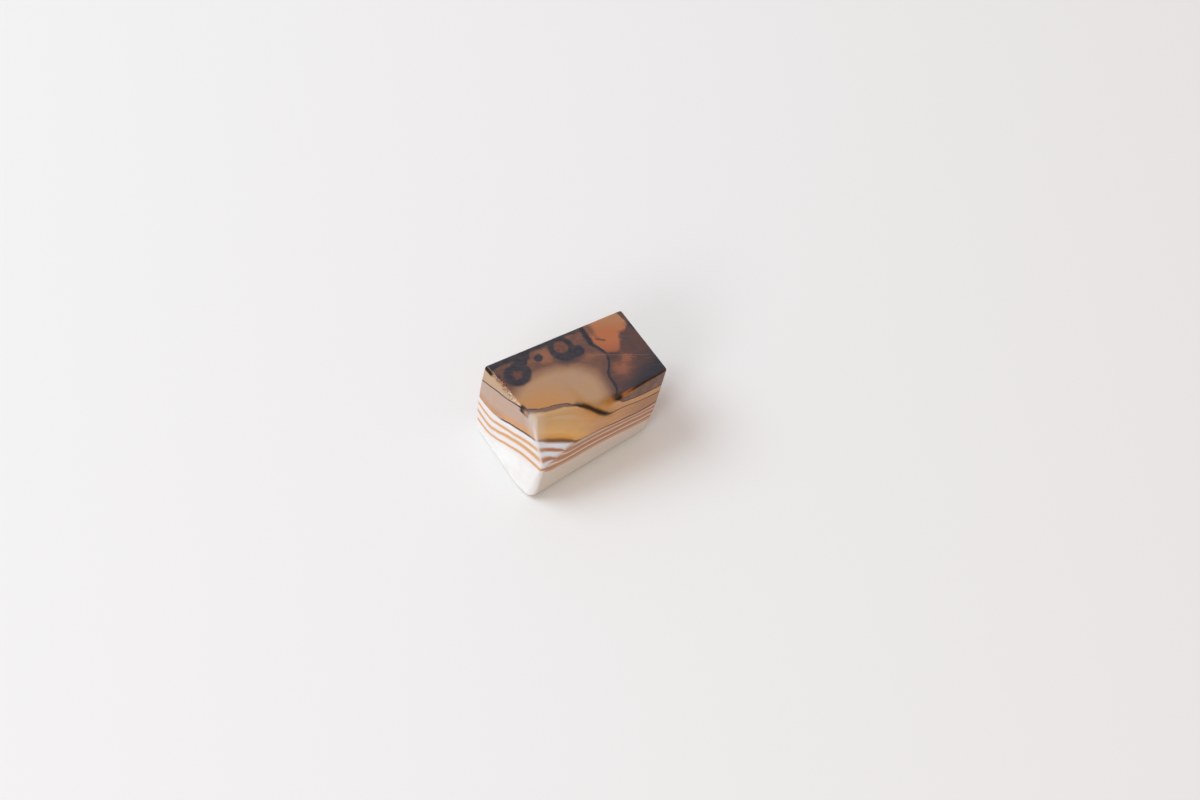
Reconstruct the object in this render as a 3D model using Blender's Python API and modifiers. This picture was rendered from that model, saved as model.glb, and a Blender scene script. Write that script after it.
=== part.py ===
"""A polished freeform of banded agate: one block of stone, sawn into slanting flats.

The block lies on its white base layer. +Z is up, +X runs along the upright front face,
and the origin is under the middle of the block, on the surface that it lies on.
"""

import random
from math import cos, radians, sin

import bmesh
import bpy
from mathutils import Matrix, Vector

MM = 0.001

# Driving dimensions of the block
HEIGHT = 22.0 * MM
ROUGH_SIDE = 80.0 * MM

# Two faces are the same face when the cosine between the ways that they look is above this
SAME_WAY = 0.999

# The ground side faces: the compass direction that each one faces, counted from +X, how far
# it leans back from upright, and how far its top edge stands from the block's middle line.
# A face with a negative lean overhangs, so the block is wider above than below there. The
# left end is slightly crowned, so it takes three cuts that differ by a few degrees.
SIDE_CUTS = {
    "front": {"azimuth": -88.5, "lean": -0.5, "reach": 15.1 * MM},
    "left_end": {"azimuth": 179.0, "lean": 19.5, "reach": 18.1 * MM},
    "left_heel": {"azimuth": 173.5, "lean": 12.0, "reach": 19.9 * MM},
    "left_cheek": {"azimuth": 187.0, "lean": 21.0, "reach": 18.5 * MM},
    "back": {"azimuth": 82.5, "lean": -4.0, "reach": 12.7 * MM},
    "right_end": {"azimuth": -5.0, "lean": -16.0, "reach": 22.6 * MM},
    "window": {"azimuth": -107.0, "lean": 41.0, "reach": 11.8 * MM},
}

# A small flat ground on the corner where the top, the left end and the window meet
CORNER_FLAT_ALONG_END = 2.0 * MM
CORNER_FLAT_ALONG_WINDOW = 1.8 * MM
CORNER_FLAT_DOWN = 9.0 * MM
GRINDER_SIDE = 27.0 * MM

# Rounding of the edges, by the two faces that meet there
ROUNDING = {
    ("top", "front"): 1.1 * MM,
    ("top", "left_end"): 0.7 * MM,
    ("top", "left_cheek"): 0.7 * MM,
    ("top", "back"): 0.6 * MM,
    ("top", "right_end"): 0.7 * MM,
    ("top", "window"): 0.9 * MM,
    ("window", "front"): 1.0 * MM,
    ("window", "left_cheek"): 0.8 * MM,
    ("left_end", "left_heel"): 0.4 * MM,
    ("left_end", "left_cheek"): 0.4 * MM,
    ("left_heel", "left_cheek"): 0.5 * MM,
    ("front", "left_cheek"): 1.5 * MM,
    ("front", "right_end"): 1.0 * MM,
    ("left_end", "back"): 0.8 * MM,
    ("left_heel", "back"): 0.8 * MM,
    ("back", "right_end"): 1.2 * MM,
    ("base", "front"): 1.6 * MM,
    ("base", "left_heel"): 2.0 * MM,
    ("base", "left_cheek"): 2.0 * MM,
    ("base", "back"): 1.8 * MM,
    ("base", "right_end"): 1.6 * MM,
}
ROUND_SEGMENTS = 5

# Flakes knocked out of the edge between the top and the left end: the stretch of the edge that
# they share out, how freely each lies in its share, and their size. Each is a shallow scoop
# with an uneven floor.
CHIP_COUNT = 8
CHIP_SPAN = (0.2, 0.72)
CHIP_SCATTER = (0.2, 0.8)
CHIP_LENGTH = (0.9 * MM, 1.7 * MM)
CHIP_DEPTH = (0.4 * MM, 0.7 * MM)
CHIP_WIDTH_SHARE = 0.75
CHIP_UNEVENNESS = 0.16
CHIP_SPIN = 0.6
CHIP_ASIDE = 0.35 * MM
CHIP_SEED = 11
CHIP_SUBDIVISIONS = 2

STONE_COLOUR = (0.42, 0.24, 0.12, 1.0)
STONE_ROUGHNESS = 0.12


def clear_scene():
    for old in list(bpy.data.objects):
        bpy.data.objects.remove(old, do_unlink=True)


def make_collection(name):
    made = bpy.data.collections.new(name)
    bpy.context.scene.collection.children.link(made)
    return made


def stone_material():
    made = bpy.data.materials.new("agate")
    made.use_nodes = True
    shader = made.node_tree.nodes["Principled BSDF"]
    shader.inputs["Base Color"].default_value = STONE_COLOUR
    shader.inputs["Roughness"].default_value = STONE_ROUGHNESS
    shader.inputs["Metallic"].default_value = 0.0
    return made


def face_plane(cut):
    """A point on a side face's top edge, and the face's outward normal."""
    azimuth = radians(cut["azimuth"])
    lean = radians(cut["lean"])
    outward = Vector((cos(azimuth), sin(azimuth), 0.0))
    normal = outward * cos(lean) + Vector((0.0, 0.0, sin(lean)))
    return outward * cut["reach"] + Vector((0.0, 0.0, HEIGHT)), normal


def saw(mesh, point, normal):
    """Cuts off what lies in front of a plane and closes the stone with a flat face."""
    geometry = mesh.verts[:] + mesh.edges[:] + mesh.faces[:]
    cut = bmesh.ops.bisect_plane(
        mesh, geom=geometry, plane_co=point, plane_no=normal, clear_outer=True
    )
    rim = [part for part in cut["geom_cut"] if isinstance(part, bmesh.types.BMEdge)]
    bmesh.ops.contextual_create(mesh, geom=rim)
    mesh.normal_update()


def face_names(mesh):
    """The name of each face, found by the way that it faces."""
    directions = {name: face_plane(cut)[1] for name, cut in SIDE_CUTS.items()}
    directions["top"] = Vector((0.0, 0.0, 1.0))
    directions["base"] = Vector((0.0, 0.0, -1.0))
    found = {}
    for face in mesh.faces:
        name = max(directions, key=lambda key: directions[key].dot(face.normal))
        if directions[name].dot(face.normal) > SAME_WAY:
            found[face] = name
    return found


def weigh_edges(mesh):
    """Gives each edge its rounding, as a share of the widest."""
    names = face_names(mesh)
    widest = max(ROUNDING.values())
    weight = mesh.edges.layers.float.new("bevel_weight_edge")
    for edge in mesh.edges:
        first, second = (names.get(face) for face in edge.link_faces)
        width = ROUNDING.get((first, second), ROUNDING.get((second, first), 0.0))
        edge[weight] = width / widest


def make_stone(collection):
    mesh = bmesh.new()
    middle = Matrix.Translation((0.0, 0.0, HEIGHT / 2))
    size = Matrix.Diagonal((ROUGH_SIDE, ROUGH_SIDE, HEIGHT, 1.0))
    bmesh.ops.create_cube(mesh, size=1.0, matrix=middle @ size)
    for cut in SIDE_CUTS.values():
        saw(mesh, *face_plane(cut))
    weigh_edges(mesh)

    data = bpy.data.meshes.new("agate")
    mesh.to_mesh(data)
    mesh.free()
    data.shade_smooth()
    stone = bpy.data.objects.new("agate", data)
    collection.objects.link(stone)
    data.materials.append(stone_material())

    rounding = stone.modifiers.new("Edge rounding", "BEVEL")
    rounding.limit_method = "WEIGHT"
    rounding.width = max(ROUNDING.values())
    rounding.segments = ROUND_SEGMENTS
    rounding.use_clamp_overlap = False
    rounding.harden_normals = True
    return stone


def meeting(first, second, third):
    """The point where three planes, each a point and a normal, meet."""
    rows = Matrix((first[1], second[1], third[1]))
    shares = Vector([point.dot(normal) for point, normal in (first, second, third)])
    return rows.inverted() @ shares


def make_corner_grinder(collection):
    """A box that grinds the slim flat on the corner of the top, the left end and the window."""
    top = (Vector((0.0, 0.0, HEIGHT)), Vector((0.0, 0.0, 1.0)))
    base = (Vector(), Vector((0.0, 0.0, -1.0)))
    left_cheek = face_plane(SIDE_CUTS["left_cheek"])
    window = face_plane(SIDE_CUTS["window"])
    back = face_plane(SIDE_CUTS["back"])
    front = face_plane(SIDE_CUTS["front"])
    corner = meeting(top, left_cheek, window)
    along_end = (meeting(top, left_cheek, back) - corner).normalized()
    along_window = (meeting(top, window, front) - corner).normalized()
    down = (meeting(base, left_cheek, window) - corner).normalized()
    first = corner + along_end * CORNER_FLAT_ALONG_END
    second = corner + along_window * CORNER_FLAT_ALONG_WINDOW
    third = corner + down * CORNER_FLAT_DOWN
    outward = (second - first).cross(third - first).normalized()
    if outward.dot(corner - first) < 0:
        outward.negate()
    side = (second - first).normalized()
    turn = Matrix((side, outward.cross(side), outward)).transposed().to_4x4()
    grinder = bmesh.new()
    bmesh.ops.create_cube(grinder, size=GRINDER_SIDE)
    bmesh.ops.transform(grinder, matrix=turn, verts=grinder.verts)
    centre = (first + second + third) / 3 + outward * GRINDER_SIDE / 2
    add_cutter(collection, "corner_flat", grinder, centre)


def add_cutter(collection, name, mesh, place):
    data = bpy.data.meshes.new(name)
    mesh.to_mesh(data)
    mesh.free()
    cutter = bpy.data.objects.new(name, data)
    cutter.location = place
    cutter.hide_render = True
    cutter.display_type = "WIRE"
    collection.objects.link(cutter)


def make_chips(collection):
    """Shallow scoops that break the edge between the top and the left end."""
    chance = random.Random(CHIP_SEED)
    top = (Vector((0.0, 0.0, HEIGHT)), Vector((0.0, 0.0, 1.0)))
    left_end = face_plane(SIDE_CUTS["left_end"])
    start = meeting(top, left_end, face_plane(SIDE_CUTS["back"]))
    finish = meeting(top, left_end, face_plane(SIDE_CUTS["window"]))
    outward = (top[1] + left_end[1]).normalized()
    along = (finish - start).normalized()
    across = outward.cross(along)
    turn = Matrix((along, across, outward)).transposed().to_4x4()
    for number in range(CHIP_COUNT):
        spread = (number + chance.uniform(*CHIP_SCATTER)) / CHIP_COUNT
        share = CHIP_SPAN[0] + (CHIP_SPAN[1] - CHIP_SPAN[0]) * spread
        length = chance.uniform(*CHIP_LENGTH)
        depth = chance.uniform(*CHIP_DEPTH)
        scoop = bmesh.new()
        bmesh.ops.create_icosphere(scoop, subdivisions=CHIP_SUBDIVISIONS, radius=1.0)
        for point in scoop.verts:
            point.co *= 1.0 + chance.uniform(-CHIP_UNEVENNESS, CHIP_UNEVENNESS)
        bmesh.ops.scale(scoop, vec=(length, length * CHIP_WIDTH_SHARE, depth), verts=scoop.verts)
        spin = Matrix.Rotation(chance.uniform(-CHIP_SPIN, CHIP_SPIN), 4, "Z")
        bmesh.ops.transform(scoop, matrix=turn @ spin, verts=scoop.verts)
        aside = across * chance.uniform(-CHIP_ASIDE, CHIP_ASIDE)
        add_cutter(collection, f"chip_{number + 1}", scoop, start.lerp(finish, share) + aside)


def move_origin_under_middle(stone, cutters):
    """Moves the stone and its cutters so that the middle of its base outline is the origin."""
    depsgraph = bpy.context.evaluated_depsgraph_get()
    corners = [Vector(corner) for corner in stone.evaluated_get(depsgraph).bound_box]
    low, high = corners[0], corners[6]
    shift = Vector((-(low.x + high.x) / 2, -(low.y + high.y) / 2, -low.z))
    stone.data.transform(Matrix.Translation(shift))
    for cutter in cutters.objects:
        cutter.location += shift


def main():
    clear_scene()
    parts = make_collection("banded_agate_freeform")
    cutters = make_collection("cutters")
    stone = make_stone(parts)
    make_corner_grinder(cutters)
    make_chips(cutters)
    for cutter in cutters.objects:
        taking = stone.modifiers.new(cutter.name, "BOOLEAN")
        taking.operation = "DIFFERENCE"
        taking.object = cutter
    move_origin_under_middle(stone, cutters)


main()
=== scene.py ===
"""A polished block of banded agate on a pale floor, in soft light from the left.

The stone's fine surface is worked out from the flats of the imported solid, and its colours come
from one solid texture: every face shows the same layers, cut at its own slant. Sizes and places
are in millimetres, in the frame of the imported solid, unless a comment says otherwise.
"""

from math import cos, hypot, radians, sin

import bmesh
import bpy
import numpy as np
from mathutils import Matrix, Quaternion, Vector


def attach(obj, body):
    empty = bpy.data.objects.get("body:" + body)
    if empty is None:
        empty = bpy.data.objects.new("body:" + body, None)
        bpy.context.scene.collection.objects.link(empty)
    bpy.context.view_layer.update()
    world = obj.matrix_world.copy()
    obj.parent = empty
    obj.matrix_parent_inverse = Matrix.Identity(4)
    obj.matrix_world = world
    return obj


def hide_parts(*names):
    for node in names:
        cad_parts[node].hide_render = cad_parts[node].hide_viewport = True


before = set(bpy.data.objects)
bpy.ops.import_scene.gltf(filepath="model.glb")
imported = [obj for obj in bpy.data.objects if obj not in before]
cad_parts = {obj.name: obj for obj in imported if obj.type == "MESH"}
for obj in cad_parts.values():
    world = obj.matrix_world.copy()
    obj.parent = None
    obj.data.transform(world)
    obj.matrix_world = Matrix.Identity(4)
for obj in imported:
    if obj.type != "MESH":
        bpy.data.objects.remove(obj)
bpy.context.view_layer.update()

MM = 0.001

# The camera of the photograph: what it looks at, from where, and its lens
TARGET = Vector((11.55, 1.89, 0.0)) * MM
VIEW_AZIMUTH = radians(-35.5)
VIEW_ELEVATION = radians(51.6)
VIEW_DISTANCE = 780.0 * MM
VIEW_ROLL = radians(-0.31)
LENS = 85.0
SENSOR = 36.0

# The stone's flats: the compass direction that each one faces, counted from +X, and its lean
# back from upright, both in degrees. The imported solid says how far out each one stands.
FLATS = {
    "top": (0.0, 90.0),
    "base": (0.0, -90.0),
    "front": (-88.5, -0.5),
    "window": (-107.0, 41.0),
    "back": (82.5, -4.0),
    "right_end": (-5.0, -16.0),
}
LEFT_CROWN = ((179.0, 19.5), (173.5, 12.0), (187.0, 21.0))
CORNER_FLAT = (-142.0, 41.5)
CORNER_FLAT_REACH = 26.9

# The roundings: each one's width, the heights between which it changes, and the keener corner
CROWN_BLEND = 0.5
ROUNDING_ABOVE = 0.75
ROUNDING_AT_BASE = 2.3
ROUNDING_CHANGES = (1.0, 9.5)
CORNER_BLEND = 0.15
KEEN_CORNER = (-17.2, -7.0, 19.5)
KEEN_REACH = 4.5
KEEN_SHARE = 0.75

# The fine surface: its step, the slight wave of the polish, and how points find the surface
SURFACE_STEP = 0.29
JOIN_DISTANCE = 0.001
WAVE_DEPTH = 0.012
WAVE_LENGTH = 7.0
WAVE_STARTS = (0.3, 1.7, 2.9)
NEWTON_STEPS = 5
PROBE = 0.01
TINY = 1e-9

# Flakes lost from the edge between the top and the left end: their number, the stretch of the
# edge that they lie in, counted from 0 at the back to 1 at the front, and the sizes and rims of
# the scoops. The skin is finer in a zone around that stretch.
CHIP_COUNT = 32
CHIP_SPAN = (0.13, 0.73)
CHIP_MARGIN = 0.05
CHIP_RADIUS = (0.55, 1.5)
CHIP_DEPTH = (0.1, 0.42)
CHIP_SETBACK = 0.12
CHIP_TILT = 0.45
CHIP_BLEND = 0.03
CHIP_RIM = (-0.12, 0.02)
CHIP_ROUGHNESS = 0.06
CRUMB_WAVES = ((7.1, 9.3, 5.7), (-8.2, 4.4, 9.9))
CHIP_SEED = 5
CHIP_ZONE = 1.7
CHIP_CUTS = 2


def direction(azimuth, lean):
    azimuth, lean = radians(azimuth), radians(lean)
    return np.array((cos(azimuth) * cos(lean), sin(azimuth) * cos(lean), sin(lean)))


def smooth_max(first, second, blend):
    """The larger of two fields, with the crease between them rounded off."""
    gap = np.maximum(blend - np.abs(first - second), 0.0) / blend
    return np.maximum(first, second) + gap * gap * blend / 4


def smooth_step(value, low, high):
    share = np.clip((value - low) / (high - low), 0.0, 1.0)
    return share * share * (3 - 2 * share)


def meeting(*flats):
    """The point where three flats meet."""
    ways, reaches = zip(*flats)
    return np.linalg.solve(np.array(ways), np.array(reaches))


class Stone:
    """The distance from any point, in millimetres, to the stone's polished surface."""

    def __init__(self, corners):
        self.ways = np.array([direction(*flat) for flat in FLATS.values()])
        self.reaches = (corners @ self.ways.T).max(axis=0)
        self.crown_ways = np.array([direction(*flat) for flat in LEFT_CROWN])
        self.crown_reaches = (corners @ self.crown_ways.T).max(axis=0)
        self.corner_way = direction(*CORNER_FLAT)
        self.chips = self.make_chips()

    def flat(self, name):
        """The direction that a flat faces, and how far out it stands."""
        which = list(FLATS).index(name)
        return self.ways[which], self.reaches[which]

    def edge_ends(self):
        """Both ends of the edge between the top and the left end."""
        left = (self.crown_ways[0], self.crown_reaches[0])
        return [meeting(self.flat("top"), left, self.flat(across)) for across in ("back", "window")]

    def make_chips(self):
        """Round scoops that bite into the edge: centre and radius of each."""
        chance = np.random.default_rng(CHIP_SEED)
        start, finish = self.edge_ends()
        outward = self.flat("top")[0] + self.crown_ways[0]
        outward /= np.linalg.norm(outward)
        chips = []
        for _ in range(CHIP_COUNT):
            share = chance.uniform(*CHIP_SPAN)
            radius = chance.uniform(*CHIP_RADIUS)
            depth = chance.uniform(*CHIP_DEPTH)
            tilt = outward + chance.uniform(-CHIP_TILT, CHIP_TILT, 3)
            tilt /= np.linalg.norm(tilt)
            edge = start + (finish - start) * share - outward * CHIP_SETBACK
            chips.append((edge + tilt * (radius - depth), radius))
        return chips

    def block(self, points):
        """The rounded block without its chips."""
        flats = points @ self.ways.T - self.reaches
        crown = points @ self.crown_ways.T - self.crown_reaches
        left = smooth_max(crown[:, 0], crown[:, 1], CROWN_BLEND)
        left = smooth_max(left, crown[:, 2], CROWN_BLEND)
        sides = np.column_stack((flats, left))
        high = smooth_step(points[:, 2], *ROUNDING_CHANGES)
        radius = ROUNDING_AT_BASE + (ROUNDING_ABOVE - ROUNDING_AT_BASE) * high
        keen = np.exp(-((points - KEEN_CORNER) ** 2).sum(axis=1) / KEEN_REACH**2)
        radius = radius * (1 - KEEN_SHARE * keen)
        over = np.maximum(sides + radius[:, None], 0.0)
        rounded = np.sqrt((over * over).sum(axis=1)) - radius
        corner = points @ self.corner_way - CORNER_FLAT_REACH
        wave = np.sin(points / WAVE_LENGTH * 2 * np.pi + WAVE_STARTS).sum(axis=1)
        return smooth_max(rounded, corner, CORNER_BLEND) + WAVE_DEPTH * (1 + wave / 3)

    def chipped(self, points):
        """How deep a point lies in the scoops; positive means the stone is gone there."""
        deepest = np.full(len(points), -np.inf)
        for centre, radius in self.chips:
            deepest = np.maximum(deepest, radius - np.linalg.norm(points - centre, axis=1))
        first, second = (np.sin(points @ np.array(wave)) for wave in CRUMB_WAVES)
        return deepest + CHIP_ROUGHNESS * first * second

    def surface(self, points):
        return smooth_max(self.block(points), self.chipped(points), CHIP_BLEND)

    def slope(self, points):
        """The surface's outward direction near each point."""
        found = np.empty_like(points)
        for axis in range(3):
            step = np.zeros(3)
            step[axis] = PROBE
            found[:, axis] = self.surface(points + step) - self.surface(points - step)
        return found / np.maximum(np.linalg.norm(found, axis=1, keepdims=True), TINY)

    def settle(self, points):
        """Moves points onto the surface, a few steps straight towards it."""
        for _ in range(NEWTON_STEPS):
            points = points - self.slope(points) * self.surface(points)[:, None]
        return points


def closed_copy(node):
    """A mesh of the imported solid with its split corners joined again."""
    mesh = bmesh.new()
    mesh.from_mesh(node.data)
    bmesh.ops.remove_doubles(mesh, verts=mesh.verts, dist=JOIN_DISTANCE * MM)
    data = bpy.data.meshes.new("agate_fine")
    mesh.to_mesh(data)
    mesh.free()
    return data


def even_mesh(data):
    """The same body with an even skin of small quads."""
    source = bpy.data.objects.new("agate_source", data)
    bpy.context.scene.collection.objects.link(source)
    remesh = source.modifiers.new("Even skin", "REMESH")
    remesh.mode = "VOXEL"
    remesh.voxel_size = SURFACE_STEP * MM
    depsgraph = bpy.context.evaluated_depsgraph_get()
    made = bpy.data.meshes.new_from_object(source.evaluated_get(depsgraph))
    bpy.data.objects.remove(source, do_unlink=True)
    return made


def refine_chipped_edge(data, stone):
    """Splits the quads along the chipped edge, so that the scoops have crisp rims."""
    start, finish = stone.edge_ends()
    mesh = bmesh.new()
    mesh.from_mesh(data)
    along = Vector(finish - start)
    length = along.length
    along.normalize()
    chosen = set()
    for face in mesh.faces:
        offset = face.calc_center_median() / MM - Vector(start)
        share = offset.dot(along) / length
        if CHIP_SPAN[0] - CHIP_MARGIN < share < CHIP_SPAN[1] + CHIP_MARGIN:
            if (offset - along * offset.dot(along)).length < CHIP_ZONE:
                chosen.update(face.edges)
    bmesh.ops.subdivide_edges(mesh, edges=list(chosen), cuts=CHIP_CUTS, use_grid_fill=True)
    mesh.to_mesh(data)
    mesh.free()


def put_field(data, name, values):
    field = data.attributes.new(name, "FLOAT", "POINT")
    field.data.foreach_set("value", values.astype(np.float32))


def make_stone(node, stone):
    data = even_mesh(closed_copy(node))
    refine_chipped_edge(data, stone)
    points = np.array([vertex.co for vertex in data.vertices], float) / MM
    points = stone.settle(points)
    data.vertices.foreach_set("co", (points * MM).astype(np.float32).ravel())
    put_field(data, "broken", smooth_step(stone.chipped(points) - stone.block(points), *CHIP_RIM))
    data.update()
    data.shade_smooth()
    made = bpy.data.objects.new("agate_fine", data)
    bpy.context.scene.collection.objects.link(made)
    return made


def camera_side():
    return Vector((cos(VIEW_AZIMUTH), sin(VIEW_AZIMUTH), 0.0))


def camera_ahead():
    return Vector((-sin(VIEW_AZIMUTH), cos(VIEW_AZIMUTH), 0.0))


def upward(height):
    return Vector((0.0, 0.0, height))


def make_camera():
    back = upward(sin(VIEW_ELEVATION)) - camera_ahead() * cos(VIEW_ELEVATION)
    data = bpy.data.cameras.new("camera")
    data.lens = LENS
    data.sensor_width = SENSOR
    camera = bpy.data.objects.new("camera", data)
    camera.location = TARGET + back * VIEW_DISTANCE
    camera.rotation_mode = "QUATERNION"
    aim = (-back).to_track_quat("-Z", "Y")
    camera.rotation_quaternion = aim @ Quaternion((0.0, 0.0, 1.0), VIEW_ROLL)
    bpy.context.scene.collection.objects.link(camera)
    bpy.context.scene.camera = camera


# The lamps, seen from the camera: how far to the side, ahead and up each one stands, in metres
LAMPS = {
    "high_window": {
        "place": (-1.02, 0.43, 1.27),
        "size": 1.25,
        "power": 16.9,
        "colour": (0.70, 0.83, 0.94),
    },
    "left_window": {
        "place": (-0.55, -1.00, 0.67),
        "size": 0.56,
        "power": 3.9,
        "colour": (0.94, 0.97, 1.0),
    },
}
# The room is warm and dims towards the right; its far side, which the top mirrors, is cooler.
# Both changes run between two shares of the way to that side.
ROOM_LEFT = (0.68, 0.61, 0.54)
ROOM_RIGHT = (0.54, 0.45, 0.375)
ROOM_TURN = radians(35.0)
ROOM_DIMS = (-0.75, 0.75)
ROOM_FAR = (0.66, 0.65, 0.76)
ROOM_FAR_HEIGHT = radians(50.0)
ROOM_COOLS = (0.75, 0.95)

# The floor: its half width and its drop under the stone, in metres, and its dull finish
FLOOR_HALF_WIDTH = 6.0
FLOOR_DROP = 0.01 * MM
FLOOR_COLOUR = (0.86, 0.852, 0.84, 1.0)
FLOOR_ROUGHNESS = 0.7
FLOOR_GLOSS = 0.15


def make_room():
    world = bpy.data.worlds.new("soft_room")
    world.use_nodes = True
    t = Texture(world)
    way = t.put("TexCoord", {}, "Generated")
    rightward = camera_side() * cos(ROOM_TURN) - camera_ahead() * sin(ROOM_TURN)
    far = camera_ahead() * cos(ROOM_FAR_HEIGHT) + upward(sin(ROOM_FAR_HEIGHT))
    colour = t.mix(t.rise(t.along(way, rightward), *ROOM_DIMS), ROOM_LEFT, ROOM_RIGHT)
    colour = t.mix(t.rise(t.along(way, far), *ROOM_COOLS), colour, ROOM_FAR)
    t.feed(t.tree.nodes["Background"].inputs["Color"], colour)
    bpy.context.scene.world = world


def make_light():
    for name, lamp in LAMPS.items():
        data = bpy.data.lights.new(name, "AREA")
        data.shape = "DISK"
        data.size = lamp["size"]
        data.energy = lamp["power"]
        data.color = lamp["colour"]
        made = bpy.data.objects.new(name, data)
        across, forward, up = lamp["place"]
        made.location = camera_side() * across + camera_ahead() * forward + upward(up)
        made.rotation_mode = "QUATERNION"
        made.rotation_quaternion = (-made.location).to_track_quat("-Z", "Y")
        bpy.context.scene.collection.objects.link(made)


def make_floor():
    mesh = bmesh.new()
    bmesh.ops.create_grid(mesh, x_segments=1, y_segments=1, size=FLOOR_HALF_WIDTH)
    data = bpy.data.meshes.new("floor")
    mesh.to_mesh(data)
    mesh.free()
    floor = bpy.data.objects.new("floor", data)
    floor.location.z = -FLOOR_DROP
    bpy.context.scene.collection.objects.link(floor)
    material = bpy.data.materials.new("floor")
    material.use_nodes = True
    shader = material.node_tree.nodes["Principled BSDF"]
    shader.inputs["Base Color"].default_value = FLOOR_COLOUR
    shader.inputs["Roughness"].default_value = FLOOR_ROUGHNESS
    shader.inputs["Specular IOR Level"].default_value = FLOOR_GLOSS
    data.materials.append(material)


# The layers of the stone, from the lowest up: how high each one stands along the left end, at
# the distances LEFT_STATIONS along Y, and how far it has dropped at places X along the front
LEFT_STATIONS = (-15.0, -8.0, -2.0, 4.0, 9.0, 15.0)
LAYERS = {
    "line_1": (
        (10.7, 10.7, 9.05, 6.4, 4.85, 4.6),
        ((-21.0, 0.0), (-19.6, -0.1), (-18.1, -0.8), (-16.9, -1.35), (-13.9, -1.65),
         (-9.7, -1.95), (-5.4, -2.1), (-1.6, -2.3), (1.8, -2.7), (5.2, -3.2), (9.5, -3.9),
         (13.7, -4.4), (20.0, -4.9)),
    ),
    "line_2": (
        (12.7, 12.85, 11.5, 8.9, 7.2, 7.35),
        ((-21.0, 0.05), (-18.9, 0.2), (-17.3, 0.25), (-15.6, -0.2), (-13.9, -1.4),
         (-11.8, -1.8), (-7.6, -2.05), (-3.3, -2.35), (0.1, -2.7), (3.5, -3.25), (7.3, -3.7),
         (14.6, -4.7), (20.0, -5.3)),
    ),
    "line_3": (
        (15.0, 14.7, 13.25, 11.3, 9.75, 9.7),
        ((-21.0, 0.05), (-17.9, 0.1), (-16.4, -0.1), (-14.5, -0.55), (-13.0, -1.05),
         (-11.1, -2.45), (-7.1, -2.8), (0.1, -3.25), (3.4, -3.65), (7.3, -4.4), (10.7, -5.0),
         (14.6, -5.6), (20.0, -6.0)),
    ),
    "dark_1": (
        (17.3, 16.8, 15.5, 13.3, 11.95, 11.5),
        ((-21.0, 0.1), (-18.0, 0.0), (-15.5, -0.5), (-13.3, -0.95), (-11.1, -1.5),
         (-9.6, -2.05), (-8.4, -2.85), (-5.8, -3.4), (-3.3, -3.6), (0.1, -4.0), (3.4, -4.75),
         (7.3, -5.5), (13.7, -6.5), (20.0, -6.5)),
    ),
    "dark_2": (
        (24.2, 23.1, 22.0, 20.3, 19.2, 17.5),
        ((-21.0, 0.0), (-18.0, -0.1), (-16.0, -0.38), (-12.0, -0.75), (-8.0, -0.95),
         (-4.0, -1.75), (0.0, -4.4), (2.2, -6.0), (3.4, -6.6), (6.9, -7.1), (9.4, -7.8),
         (12.0, -8.5), (15.0, -9.15), (20.0, -9.7)),
    ),
}
# The drop lessens along Y, down to a share of it at the back; under the first line the count
# starts this far down
DROP_LESSENS = (-5.0, 14.0)
DROP_BEHIND = 0.65
LAYER_BELOW = 9.0
# Noise that makes the layers waver, coarse and fine: its scale, and how far it moves them
LAYER_WAVER = ((0.16, 0.4), (0.9, 0.12))
# Where on the layer count the milky layers and the honey layer begin
MILK_BEGINS = (0.97, 1.02)
HONEY_BEGINS = (3.98, 4.03)

# Mottles of the stone: scale and detail of the noise, and its levels where spots start and fill
MOTTLES = {
    "base": (0.2, 3.0, 0.35, 0.75),
    "honey_layer": (0.3, 2.0, 0.45, 0.8),
    "smoky": (0.3, 3.0, 0.25, 0.65),
    "honey": (0.11, 2.0, 0.3, 0.7),
    "fawn": (0.4, 3.0, 0.4, 0.65),
    "slate": (0.5, 2.0, 0.35, 0.65),
    "specks": (1.6, 2.0, 0.5, 0.65),
    "core": (0.9, 2.0, 0.4, 0.65),
    "mauve": (0.3, 3.0, 0.35, 0.7),
    "fracture": (1.4, 2.0, 0.42, 0.62),
    "crumbs": (1.7, 3.0, 0.50, 0.58),
    "seam": (0.9, 2.0, 0.42, 0.6),
}
# Fine streaks along the layers: how closely they are packed on the layer count, and how far the
# silky ones of the honey layer are stretched along X
WISP_PACKING = 8.0
SILK_PACKING = 6.0
SILK_STRETCH = 0.08

# The pale layers: the blush under the first line, the lines' half widths on the left end and
# inside, and a faint line under the first one
BLUSH_UNDER = (-2.4, -0.9)
LINE_HALF_WIDTHS = {"line_1": (0.40, 0.30), "line_2": (0.50, 0.34), "line_3": (0.42, 0.20)}
FAINT_DROP = 0.85
FAINT_HALF_WIDTH = 0.2
# The light threads in the red-brown layers and the ashen one above them: each one's place on the
# layer count and half width, and where along X the ashen one ends
THREADS = ((0.83, 0.08), (1.42, 0.13), (2.52, 0.11), (3.47, 0.10))
ASHEN_THREAD = (3.66, 0.28)
ASHEN_ENDS = (-7.0, 4.0)

# The honey layer: heights above the first dark line, changes along Y and X, changes on the layer
# count, and the dull strip under the second dark line
DEEP_HONEY = (0.4, 3.2)
PEACH_TO_OCHRE = (1.0, 6.0)
AMBER_TO_BRONZE = (-9.0, 0.0)
BRONZE_DULLS = (3.0, 15.0)
AMBER_DULLS = (4.3, 4.9)
STRIP_UNDER = (-0.34, -0.18)
STRIP_ENDS = (-6.0, -3.5)

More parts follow.
